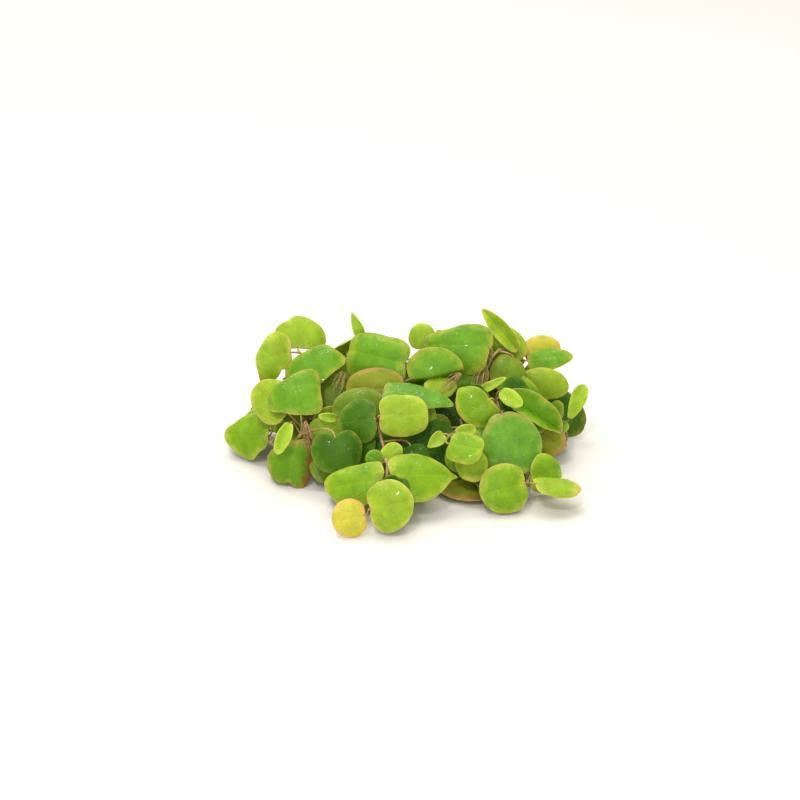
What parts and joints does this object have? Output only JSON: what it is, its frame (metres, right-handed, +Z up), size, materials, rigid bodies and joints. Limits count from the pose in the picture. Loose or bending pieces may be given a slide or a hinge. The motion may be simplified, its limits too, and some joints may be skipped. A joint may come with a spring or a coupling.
{
  "type": "red root floater plant clump",
  "caption": "Tangled clump of a floating aquarium plant: small round notched leaves on thin branching stems with tufts of fine roots.",
  "frame": {"origin": "centre of the underside of the clump's box, on the surface that the lowest leaves rest on", "axes": "+X along the clump's length, left to right as the picture shows it; +Y away from the viewer; +Z up, the clump's shortest way"},
  "size_m": [0.0917, 0.0738, 0.0343],
  "materials": {
    "leaf_amber": "waxy satin",
    "leaf_blue": "waxy satin",
    "leaf_bronze": "waxy satin",
    "leaf_bruised": "waxy satin",
    "leaf_deep": "waxy satin",
    "leaf_fresh": "waxy satin",
    "leaf_green": "waxy satin",
    "leaf_lime": "waxy satin",
    "leaf_olive": "waxy satin",
    "root": "matt",
    "stem": "satin"
  },
  "bodies": {
    "root": {"back_left_leaf_1": "leaf_green", "back_left_leaf_2": "leaf_lime", "back_left_leaf_3": "leaf_green", "back_left_leaf_4": "leaf_deep", "back_left_stem": "stem", "back_low_leaf_1": "leaf_fresh", "back_low_leaf_2": "leaf_bronze", "back_low_leaf_3": "leaf_green", "back_low_stem": "stem", "back_right_leaf_1": "leaf_olive", "back_right_leaf_2": "leaf_green", "back_right_leaf_3": "leaf_lime", "back_right_leaf_4": "leaf_green", "back_right_stem": "stem", "corner_leaf_1": "leaf_green", "corner_leaf_2": "leaf_lime", "corner_leaf_3": "leaf_olive", "corner_leaf_4": "leaf_amber", "corner_leaf_5": "leaf_green", "corner_stem": "stem", "edge_leaf_1": "leaf_lime", "edge_leaf_2": "leaf_deep", "edge_stem": "stem", "front_leaf_1": "leaf_deep", "front_leaf_2": "leaf_lime", "front_leaf_3": "leaf_fresh", "front_leaf_4": "leaf_fresh", "front_leaf_5": "leaf_lime", "front_leaf_6": "leaf_amber", "front_stem": "stem", "left_leaf_1": "leaf_green", "left_leaf_2": "leaf_lime", "left_leaf_3": "leaf_fresh", "left_leaf_4": "leaf_bruised", "left_leaf_5": "leaf_deep", "left_roots": "root", "left_stem": "stem", "low_leaf_1": "leaf_fresh", "low_leaf_2": "leaf_lime", "low_stem": "stem", "main_stem": "stem", "middle_roots": "root", "right_leaf_1": "leaf_fresh", "right_leaf_2": "leaf_blue", "right_leaf_3": "leaf_green", "right_leaf_4": "leaf_fresh", "right_leaf_5": "leaf_fresh", "right_leaf_6": "leaf_lime", "right_stem": "stem", "top_leaf_1": "leaf_bronze", "top_leaf_2": "leaf_olive", "top_leaf_3": "leaf_green", "top_leaf_4": "leaf_green", "top_leaf_5": "leaf_blue", "top_stem": "stem", "upper_left_leaf_1": "leaf_lime", "upper_left_leaf_2": "leaf_lime", "upper_left_leaf_3": "leaf_green", "upper_left_stem": "stem", "upper_roots": "root"}
  },
  "joints": []
}
